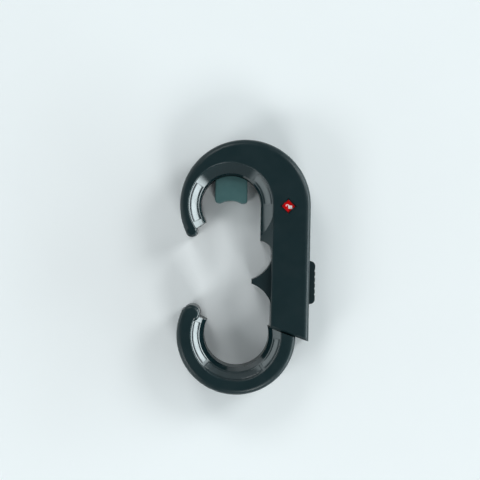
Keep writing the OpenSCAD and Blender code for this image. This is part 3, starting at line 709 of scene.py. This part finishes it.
class Bench:
    """Modelling steps on one piece, with places and sizes in millimetres of the lock's frame."""

    def __init__(self, name: str) -> None:
        """Starts a piece.

        Args:
            name: Name of the piece.
        """
        self.name = name
        self.piece: Piece | None = None
        bpy.ops.object.select_all(action="DESELECT")

    def take(self) -> "Bench":
        """Takes the primitive just added as the piece, with its place in its mesh.

        Returns:
            The bench.
        """
        self.piece = bpy.context.active_object
        self.piece.name = self.name
        self.piece.data.name = self.name
        bpy.ops.object.transform_apply(location=True, rotation=True, scale=True)
        return self

    def cylinder(self, radius: float, span: Span, x: float, y: float, sides: int) -> "Bench":
        """Starts from an upright cylinder.

        Args:
            radius: Its radius.
            span: Heights of its bottom and top.
            x: Centre.
            y: Centre.
            sides: Number of its sides.

        Returns:
            The bench.
        """
        low, high = span
        bpy.ops.mesh.primitive_cylinder_add(
            vertices=sides, radius=radius * MM, depth=(high - low) * MM, location=mm(x, y, (low + high) / 2)
        )
        return self.take()

    def block(self, low: Point, high: Point) -> "Bench":
        """Starts from a block.

        Args:
            low: Its lowest corner.
            high: Its highest corner.

        Returns:
            The bench.
        """
        centre = [(a + b) / 2 for a, b in zip(low, high)]
        size = [(b - a) * MM for a, b in zip(low, high)]
        bpy.ops.mesh.primitive_cube_add(size=1, location=mm(*centre), scale=size)
        return self.take()

    def plate(self, width: float, height: float, centre: Point, turn: Point = (0, 0, 0)) -> "Bench":
        """Starts from a flat rectangle.

        Args:
            width: Size along its own x.
            height: Size along its own y.
            centre: Its middle.
            turn: Euler angles in degrees.

        Returns:
            The bench.
        """
        angles = [math.radians(angle) for angle in turn]
        bpy.ops.mesh.primitive_plane_add(size=1, location=mm(*centre), rotation=angles)
        bpy.context.active_object.scale = (width * MM, height * MM, 1)
        return self.take()

    def ring(self, radius: float, thick: float, centre: Point, sides: int, section_sides: int) -> "Bench":
        """Starts from a level ring of round section.

        Args:
            radius: Radius of its middle line.
            thick: Radius of its section.
            centre: Its middle.
            sides: Sides round the ring.
            section_sides: Sides of the section.

        Returns:
            The bench.
        """
        bpy.ops.mesh.primitive_torus_add(
            major_radius=radius * MM, minor_radius=thick * MM, location=mm(*centre),
            major_segments=sides, minor_segments=section_sides,
        )
        return self.take()

    def select(self) -> None:
        """Selects the piece alone and makes it active."""
        bpy.ops.object.select_all(action="DESELECT")
        self.piece.select_set(True)
        bpy.context.view_layer.objects.active = self.piece

    def edit(self) -> None:
        """Goes to edit mode on the piece alone, with all of it selected."""
        self.select()
        bpy.ops.object.mode_set(mode="EDIT")
        bpy.ops.mesh.select_all(action="SELECT")

    def leave(self) -> "Bench":
        """Goes back to object mode.

        Returns:
            The bench.
        """
        bpy.ops.object.mode_set(mode="OBJECT")
        return self

    def pick(self, kind: str, test: Callable[[object], bool]) -> None:
        """Selects vertices or edges by a test, in edit mode.

        Args:
            kind: VERT or EDGE.
            test: Says whether one of them is selected.
        """
        bpy.ops.mesh.select_mode(type=kind)
        bpy.ops.mesh.select_all(action="DESELECT")
        mesh = bmesh.from_edit_mesh(self.piece.data)
        for row in {"VERT": mesh.verts, "EDGE": mesh.edges}[kind]:
            if test(row):
                row.select_set(True)
        mesh.select_flush_mode()
        bmesh.update_edit_mesh(self.piece.data)

    def drop_face(self) -> None:
        """Deletes faces and keeps their edges, all selected, in edit mode."""
        bpy.ops.mesh.delete(type="ONLY_FACE")
        bpy.ops.mesh.select_all(action="SELECT")

    def close_ends(self) -> None:
        """Closes all holes, in edit mode."""
        bpy.ops.mesh.select_all(action="SELECT")
        bpy.ops.mesh.fill_holes(sides=0)

    def extrude(self, way: Point) -> None:
        """Extrudes what is selected, in edit mode.

        Args:
            way: Direction and length.
        """
        bpy.ops.mesh.extrude_region_move(TRANSFORM_OT_translate={"value": mm(*way)})

    def spin(self, angle: float, steps: int, centre: Point) -> None:
        """Spins what is selected counter-clockwise round an upright axis, in edit mode.

        Args:
            angle: Angle in radians.
            steps: Number of steps.
            centre: Point of the axis.
        """
        bpy.ops.mesh.spin(steps=steps, angle=angle, center=mm(*centre), axis=SPIN_AXIS)

    def cut(self, at: Point, away: Point) -> "Bench":
        """Cuts the piece with a plane and closes it.

        Args:
            at: Point of the plane.
            away: Direction of the side that goes.

        Returns:
            The bench.
        """
        self.edit()
        bpy.ops.mesh.bisect(plane_co=mm(*at), plane_no=away, use_fill=True, clear_outer=True)
        return self.leave()

    def apply(self, kind: str, **values: object) -> "Bench":
        """Adds a modifier and applies it.

        Args:
            kind: Blender's name of the modifier type.
            values: Settings of the modifier, by name.

        Returns:
            The bench.
        """
        self.select()
        modifier = self.piece.modifiers.new(kind.lower(), kind)
        for key, value in values.items():
            setattr(modifier, key, value)
        bpy.ops.object.modifier_apply(modifier=modifier.name)
        return self

    def combine(self, tool: "Bench", operation: str = "DIFFERENCE") -> "Bench":
        """Takes another piece's form away or joins it, and removes that piece.

        Args:
            tool: Bench with the form.
            operation: DIFFERENCE or UNION.

        Returns:
            The bench.
        """
        self.apply("BOOLEAN", operation=operation, solver="EXACT", object=tool.piece)
        bpy.data.objects.remove(tool.piece)
        return self

    def add(self, other: "Bench") -> None:
        """Joins another piece to this one as a loose part of the same object.

        Args:
            other: Bench with the other piece.
        """
        self.select()
        other.piece.select_set(True)
        bpy.ops.object.join()

    def round_edges(self, width: float, over_deg: float, steps: int = 3) -> "Bench":
        """Rounds the sharp edges.

        Args:
            width: Width of the rounding.
            over_deg: Angle from which an edge counts as sharp.
            steps: Faces across it.

        Returns:
            The bench.
        """
        return self.apply(
            "BEVEL", width=width * MM, segments=steps, limit_method="ANGLE", angle_limit=math.radians(over_deg),
            use_clamp_overlap=True, miter_outer="MITER_ARC",
        )

    def tidy(self, merge: float = 0.002) -> "Bench":
        """Merges doubled points and turns all faces outwards.

        Args:
            merge: Distance up to which points are merged.

        Returns:
            The bench.
        """
        self.edit()
        bpy.ops.mesh.remove_doubles(threshold=merge * MM)
        bpy.ops.mesh.normals_make_consistent(inside=False)
        return self.leave()

    def finish(
        self, material: bpy.types.Material, slot: Slot, body: Body, *replaced: str, smooth_deg: float = 32
    ) -> None:
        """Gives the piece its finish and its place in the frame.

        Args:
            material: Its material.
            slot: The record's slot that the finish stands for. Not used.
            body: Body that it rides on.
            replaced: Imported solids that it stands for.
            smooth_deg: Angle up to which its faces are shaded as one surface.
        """
        self.select()
        bpy.ops.object.shade_smooth_by_angle(angle=math.radians(smooth_deg))
        self.piece.data.materials.clear()
        self.piece.data.materials.append(material)
        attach(self.piece, body.value)
        if replaced:
            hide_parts(*replaced)
        log.info("%s: %d faces on %s", self.piece.name, len(self.piece.data.polygons), body.value)


# Sub-assemblies


@dataclass
class Opening:
    """One knob opening: its middle and the sloping wall between its seat and its front rim."""

    x: float
    y: float
    seat_r: float
    seat_z: float
    rim_r: float
    rim_z: float

    @property
    def length(self) -> float:
        """Length of the slope."""
        return math.hypot(self.rim_r - self.seat_r, self.rim_z - self.seat_z)

    @property
    def along(self) -> Span:
        """Direction up the slope, as radius and height."""
        return (self.rim_r - self.seat_r) / self.length, (self.rim_z - self.seat_z) / self.length

    @property
    def out(self) -> Span:
        """Direction out of the slope, as radius and height."""
        return -self.along[1], self.along[0]

    def at(self, turn_deg: float, radius: float, height: float) -> Point:
        """Point at an angle round the opening.

        Args:
            turn_deg: Angle from x.
            radius: Distance from the opening's middle.
            height: Height over the back.

        Returns:
            The point.
        """
        turn = math.radians(turn_deg)
        return self.x + radius * math.cos(turn), self.y + radius * math.sin(turn), height


@dataclass
class SoftStrip:
    """Glossy soft strip in the slope of an opening, with a crowned face and rounded ends."""

    name: str
    node: str
    body: Body
    opening: Opening
    start_deg: float
    sweep_deg: float
    thick: float = 0.9
    proud: float = 0.2
    margin: float = 0.53
    end_gap: float = 0.05
    corner: float = 0.2
    corner_steps: int = 3
    face_depth: float = 0.02
    face_cuts: int = 3
    crown: float = 0.04
    crown_rows: tuple[Span, ...] = ((0.6, 0.55), (0.2, 1.0))
    crown_band: float = 0.2
    end_round: float = 0.3
    end_over_deg: float = 60.0
    smooth_deg: float = 40.0
    step_deg: float = 1.5

    def build(self, finishes: FinishBook) -> None:
        """Models the strip and lays it in place.

        Args:
            finishes: Finishes of the lock.
        """
        hole = self.opening
        half = hole.length / 2
        lift = self.proud - self.thick / 2
        radius = hole.seat_r + hole.along[0] * half + hole.out[0] * lift
        height = hole.seat_z + hole.along[1] * half + hole.out[1] * lift
        slope = math.degrees(math.atan2(hole.along[1], hole.along[0]))
        trim = math.degrees(self.end_gap / hole.rim_r)
        start = self.start_deg + trim
        width = hole.length - 2 * self.margin
        bench = Bench(self.name).plate(width, self.thick, hole.at(start, radius, height), (90, -slope, start))
        self.shape_section(bench, start)
        self.sweep(bench, self.sweep_deg - 2 * trim)
        bench.round_edges(self.end_round, self.end_over_deg).tidy()
        bench.finish(
            finishes.material(Slot.LINER), Slot.LINER, self.body, self.node, smooth_deg=self.smooth_deg
        )

    def shape_section(self, bench: Bench, start: float) -> None:
        """Rounds the face side of the section and gives it a crown.

        Args:
            bench: Bench with the flat section.
            start: Angle of the section in degrees.
        """
        turn = math.radians(start)
        out_r, out_z = self.opening.out
        up = Vector((out_r * math.cos(turn), out_r * math.sin(turn), out_z))
        side = Vector((-math.sin(turn), math.cos(turn), 0)).cross(up)
        corners = bench.piece.data.vertices
        middle = sum((corner.co for corner in corners), Vector()) / len(corners)
        top = (self.thick / 2 - self.face_depth) * MM
        reach = (self.opening.length / 2 - self.margin - self.corner) * MM

        def rise(point: bmesh.types.BMVert) -> float:
            """Height of a point over the section's middle."""
            return (point.co - middle).dot(up)

        def aside(point: bmesh.types.BMVert) -> float:
            """Distance of a point from the section's middle line."""
            return abs((point.co - middle).dot(side))

        bench.edit()
        bench.pick("VERT", lambda point: rise(point) > 0)
        bpy.ops.mesh.bevel(offset=self.corner * MM, segments=self.corner_steps, affect="VERTICES")
        bench.pick("EDGE", lambda edge: all(rise(point) > top for point in edge.verts))
        bpy.ops.mesh.subdivide(number_cuts=self.face_cuts)
        for place, share in self.crown_rows:
            near, far = (place - self.crown_band) * reach - ROUNDING, (place + self.crown_band) * reach
            bench.pick("VERT", lambda point: rise(point) > top and near <= aside(point) < far)
            bpy.ops.transform.translate(value=up * self.crown * share * MM)
        bench.leave()

    def sweep(self, bench: Bench, sweep: float) -> None:
        """Spins the section round the opening and closes both ends.

        Args:
            bench: Bench with the section.
            sweep: Angle of the strip in degrees.
        """
        bench.edit()
        bench.drop_face()
        bench.spin(math.radians(sweep), round(sweep / self.step_deg), (self.opening.x, self.opening.y, 0))
        bench.close_ends()
        bench.leave()


@dataclass
class GripPad:
    """Soft block in the head's opening: its arch rests on a knob's neck, and a tongue holds it in the wall."""

    opening: Opening
    wall_r: float = 15.48
    wall_sides: int = 144
    half_w: float = 8.4
    low: float = 1.0
    depth: Span = (1.5, 14.0)
    arch_r: float = 11.0
    arch_rise: float = 1.4
    arch_sides: int = 96
    over: float = 1.0
    foot_round: float = 1.7
    foot_steps: int = 6
    foot_slack: float = 0.01
    edge: float = 0.95
    edge_over_deg: float = 35.0
    soft_edge: float = 0.14
    soft_over_deg: float = 20.0
    tongue_half: float = 4.0
    tongue_span: Span = (12.0, 17.3)
    tongue_depth: Span = (4.0, 9.0)
    groove_r: float = 0.42
    groove_out: float = 0.1
    groove_sides: int = 10
    groove_zs: tuple[float, ...] = (3.4, 5.6, 7.8, 10.0, 12.2)

    def build(self, finishes: FinishBook) -> None:
        """Models the pad and lays it in place.

        Args:
            finishes: Finishes of the lock.
        """
        x, y = self.opening.x, self.opening.y
        bench = Bench("grip_pad").cylinder(self.wall_r, self.depth, x, y, self.wall_sides)
        bench.cut((x, y + self.low, 0), (0, -1, 0))
        bench.cut((x - self.half_w, y, 0), (-1, 0, 0))
        bench.cut((x + self.half_w, y, 0), (1, 0, 0))
        arch_y = y + self.low + self.arch_rise - self.arch_r
        through = (self.depth[0] - self.over, self.depth[1] + self.over)
        bench.combine(Bench("arch").cylinder(self.arch_r, through, x, arch_y, self.arch_sides))
        tongue = Bench("tongue").block(
            (x - self.tongue_half, y + self.tongue_span[0], self.tongue_depth[0]),
            (x + self.tongue_half, y + self.tongue_span[1], self.tongue_depth[1]),
        )
        bench.combine(tongue, "UNION")
        self.round_feet(bench, (y + self.low) * MM)
        bench.round_edges(self.edge, self.edge_over_deg, 1)
        bench.round_edges(self.soft_edge, self.soft_over_deg)
        groove_mid_r = self.arch_r + self.groove_out
        for height in self.groove_zs:
            centre = (x, arch_y, height)
            bench.combine(
                Bench("groove").ring(groove_mid_r, self.groove_r, centre, self.arch_sides, self.groove_sides)
            )
        bench.tidy()
        bench.finish(finishes.material(Slot.PAD), Slot.PAD, Body.HEAD, "head_grip_pad")

    def round_feet(self, bench: Bench, foot_y: float) -> None:
        """Rounds the pad's two outer lower corners.

        Args:
            bench: Bench with the pad.
            foot_y: Place of the corners along y, in metres.
        """
        reach = (self.half_w - self.foot_slack) * MM
        middle = self.opening.x * MM

        def at_foot(point: bmesh.types.BMVert) -> bool:
            """Whether a point is at one of the corners."""
            return abs(point.co.y - foot_y) < SAME_PLACE and abs(point.co.x - middle) > reach

        bench.edit()
        bench.pick("EDGE", lambda edge: all(at_foot(point) for point in edge.verts))
        bpy.ops.mesh.bevel(offset=self.foot_round * MM, segments=self.foot_steps, affect="EDGES")
        bench.leave()


class Shackle(Enum):
    """States of the padlock mark."""

    OPEN = "open"
    CLOSED = "closed"


@dataclass
class PadlockMark:
    """Plain padlock mark printed on a flag tile: white, a little raised."""

    name: str
    state: Shackle
    x: float
    y: float
    z: float
    width: float = 1.95
    height: float = 1.6
    corner: float = 0.22
    corner_steps: int = 4
    print_t: float = 0.06
    hole_r: float = 0.2
    hole_up: float = 0.12
    hole_sides: int = 20
    slot_half: float = 0.08
    slot_span: Span = (-0.35, 0.05)
    over: float = 1.0
    line: float = 0.3
    arch_r: float = 0.62
    arch_steps: int = 18
    leg: float = 0.35
    sunk: float = 0.05
    swing: float = 0.4
    hinge_in: float = 0.15
    ink: Finish = EvenSurface("white_print", (0.86, 0.86, 0.85), (0.8, 0.8, 0.8), rough=(0.35, 0.5))

    def build(self) -> None:
        """Models the mark and lays it on its tile."""
        bench = self.case()
        bench.add(self.shackle())
        tile = Slot.RED if self.state is Shackle.OPEN else Slot.GREEN
        bench.finish(self.ink.material(), tile, Body.INDICATOR)

    def case(self) -> Bench:
        """Models the padlock's case with its keyhole.

        Returns:
            Bench with the case.
        """
        bench = Bench(self.name).plate(self.width, self.height, (self.x, self.y, self.z))
        bench.edit()
        bpy.ops.mesh.bevel(offset=self.corner * MM, segments=self.corner_steps, affect="VERTICES")
        bpy.ops.mesh.select_all(action="SELECT")
        bench.extrude((0, 0, self.print_t))
        bench.leave().tidy()
        low, high = self.z - self.over, self.z + self.over
        hole = Bench("hole").cylinder(self.hole_r, (low, high), self.x, self.y + self.hole_up, self.hole_sides)
        slot = Bench("slot").block(
            (self.x - self.slot_half, self.y + self.slot_span[0], low),
            (self.x + self.slot_half, self.y + self.slot_span[1], high),
        )
        return bench.combine(hole).combine(slot).tidy()

    def shackle(self) -> Bench:
        """Models the padlock's shackle, hung aside when open.

        Returns:
            Bench with the shackle.
        """
        hung = self.state is Shackle.OPEN
        foot_x = self.x + (self.hinge_in - self.width / 2 if hung else self.arch_r)
        foot_y = self.y + self.height / 2 - self.sunk - (self.swing if hung else 0)
        middle_z = self.z + self.print_t / 2
        bench = Bench(self.name + "_shackle")
        bench.plate(self.line, self.print_t, (foot_x, foot_y, middle_z), (90, 0, 0))
        bench.edit()
        bench.drop_face()
        bench.extrude((0, self.leg, 0))
        bench.spin(math.pi, self.arch_steps, (foot_x - self.arch_r, foot_y + self.leg, middle_z))
        bench.extrude((0, -self.leg, 0))
        bench.close_ends()
        return bench.leave().tidy()


@dataclass
class SoftParts:
    """Soft strips and pad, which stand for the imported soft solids."""

    head: Opening = field(default_factory=lambda: Opening(-8.6, 31.7, 16.3, 18.597, 21.3, 23.1))
    hook: Opening = field(default_factory=lambda: Opening(-4.8, -34.7, 18.8, 19.498, 22.8, 23.1))

    def build(self, finishes: FinishBook) -> None:
        """Builds all soft parts.

        Args:
            finishes: Finishes of the lock.
        """
        GripPad(self.head).build(finishes)
        rows = (
            ("head_strip_left", "head_liner_left", Body.HEAD, self.head, 148, 58),
            ("head_strip_right", "head_liner_right", Body.HEAD, self.head, 2, 48),
            ("hook_strip_left", "hook_liner_left", Body.HOOK, self.hook, 162, 59),
            ("hook_strip_right", "hook_liner_right", Body.HOOK, self.hook, 312, 44),
            ("hook_strip_bottom", "hook_liner_bottom", Body.HOOK, self.hook, 225, 84),
        )
        for row in rows:
            SoftStrip(*row).build(finishes)


@dataclass
class Indicator:
    """Printed marks of the two flag tiles."""

    x: float = 20.65
    red_y: float = 31.6
    stroke: float = 6.8
    tile_z: float = 21.7
    open_shift: Span = (0.95, -0.5)
    closed_shift: Span = (0.0, -0.35)

    def build(self) -> None:
        """Builds both marks."""
        rows = (
            ("open_mark", Shackle.OPEN, self.red_y, self.open_shift),
            ("closed_mark", Shackle.CLOSED, self.red_y - self.stroke, self.closed_shift),
        )
        for name, state, y, shift in rows:
            PadlockMark(name, state, self.x + shift[0], y + shift[1], self.tile_z).build()


# Light, floor and camera


@dataclass(frozen=True)
class Lamp:
    """Soft square lamp that looks at the lock's middle."""

    name: str
    azimuth_deg: float
    elevation_deg: float
    radiance: float
    distance: float = 1.2
    size: float = 0.4
    colour: Colour = (0.96, 1.0, 1.01)
    aim: Point = (0, 0, 12)

    def place(self) -> None:
        """Hangs the lamp."""
        data = bpy.data.lights.new(self.name, "AREA")
        data.size = self.size
        data.energy = self.radiance * self.size * self.size * math.pi
        data.color = self.colour
        lamp = bpy.data.objects.new(self.name, data)
        turn, rise = math.radians(self.azimuth_deg), math.radians(self.elevation_deg)
        way = Vector((math.cos(rise) * math.cos(turn), math.cos(rise) * math.sin(turn), math.sin(rise)))
        lamp.location = mm(*self.aim) + way * self.distance
        lamp.rotation_euler = (-way).to_track_quat("-Z", "Y").to_euler()
        bpy.context.scene.collection.objects.link(lamp)


@dataclass(frozen=True)
class WallStrip:
    """Low bright strip of the room on one side along x, soft at its ends and at its top."""

    side: int
    start: float
    full: float
    strength: float
    fade: Span = (0.24, 0.34)

    def light(self, nodes: NodeTree, way: dict[str, Socket], base: Socket) -> Socket:
        """Adds the strip to the room's light.

        Args:
            nodes: Nodes of the world.
            way: Parts of the direction.
            base: Strength that it is added to.

        Returns:
            Socket with the strength of both.
        """
        ends = (self.side * self.start, self.side * self.full)
        along = nodes.ramp(way["X"], ends, (0.0, self.strength), True)
        return nodes.maths("MULTIPLY_ADD", along, nodes.ramp(way["Z"], self.fade, FALLING, True), base)


@dataclass
class Studio:
    """Pale floor, soft lamps, pale room and a camera that looks straight down on the lock."""

    floor_z: float = -0.3
    floor_size: float = 9000.0
    floor_finish: Finish = EvenSurface(
        "pale_floor", (0.9, 0.915, 0.92), (0.92, 0.935, 0.94), rough=(0.75, 0.85),
        clouding=Patches(60), cloud_span=RISING, wave=Patches(0.8, 2), depth=0.01, shine=0.2,
    )
    aim: Span = (-3.65, 13.87)
    view_w: float = 243.84
    front_z: float = 24.0
    lens: float = 100.0
    sensor: float = 36.0
    nearest: float = 0.01
    roll_deg: float = 1.1
    room_colour: Colour = (0.88, 1.0, 1.03)
    seen_colour: Colour = (0.92, 0.94, 0.96)
    sky_span: Span = (0.3, 0.95)
    sky_levels: Span = (0.3, 0.16)
    strips: tuple[WallStrip, ...] = (WallStrip(1, 0.68, 0.84, 8.0), WallStrip(-1, 0.5, 0.68, 1.3))
    lamps: tuple[Lamp, ...] = (
        Lamp("high_right", 35, 38, 7.5),
        Lamp("high_top", 115, 42, 5.5),
        Lamp("low_front", -70, 36, 8.5),
        Lamp("low_left", -145, 36, 7.0),
    )

    def build(self) -> None:
        """Sets up everything around the lock."""
        bpy.context.scene.view_settings.view_transform = "Standard"
        self.floor()
        self.world()
        for lamp in self.lamps:
            lamp.place()
        self.camera()

    def floor(self) -> None:
        """Lays the pale floor under the lock."""
        bench = Bench("floor").plate(self.floor_size, self.floor_size, (0, 0, self.floor_z))
        bench.piece.data.materials.append(self.floor_finish.material())

    def world(self) -> None:
        """Gives the room its pale light, and the plain white that the camera sees past the floor."""
        world = bpy.data.worlds.new("pale_room")
        world.use_nodes = True
        nodes = NodeTree(world.node_tree)
        room = nodes.add("ShaderNodeBackground")
        nodes.feed(room, Color=(*self.room_colour, 1), Strength=self.sky(nodes))
        seen = nodes.add("ShaderNodeBackground")
        nodes.feed(seen, Color=(*self.seen_colour, 1), Strength=1.0)
        camera_ray = nodes.add("ShaderNodeLightPath").outputs["Is Camera Ray"]
        nodes.feed(nodes.add("ShaderNodeOutputWorld"), Surface=nodes.choice(camera_ray, room, seen))
        bpy.context.scene.world = world

    def sky(self, nodes: NodeTree) -> Socket:
        """Strength of the room's light: even low down, dim at the ceiling, with bright strips at two sides.

        Args:
            nodes: Nodes of the world.

        Returns:
            Socket with the strength.
        """
        way = nodes.parts(nodes.add("ShaderNodeTexCoord").outputs["Generated"])
        light = nodes.ramp(way["Z"], self.sky_span, self.sky_levels, True)
        for strip in self.strips:
            light = strip.light(nodes, way, light)
        return light

    def camera(self) -> None:
        """Hangs the camera over the lock, turned by the photograph's small roll."""
        data = bpy.data.cameras.new("camera")
        data.lens = self.lens
        data.sensor_width = self.sensor
        data.sensor_fit = "HORIZONTAL"
        data.clip_start = self.nearest
        camera = bpy.data.objects.new("camera", data)
        camera.location = mm(*self.aim, self.front_z + self.view_w * self.lens / self.sensor)
        camera.rotation_euler = (0, 0, math.radians(self.roll_deg))
        bpy.context.scene.collection.objects.link(camera)
        bpy.context.scene.camera = camera


def main() -> None:
    """Builds the lock's looks in order."""
    logging.basicConfig(level=logging.INFO, format="%(name)s: %(message)s")
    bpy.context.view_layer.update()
    finishes = FinishBook()
    finishes.dress_nodes(frame["nodes"], frame["record"])
    SoftParts().build(finishes)
    Indicator().build()
    Studio().build()


if __name__ == "__main__":
    main()
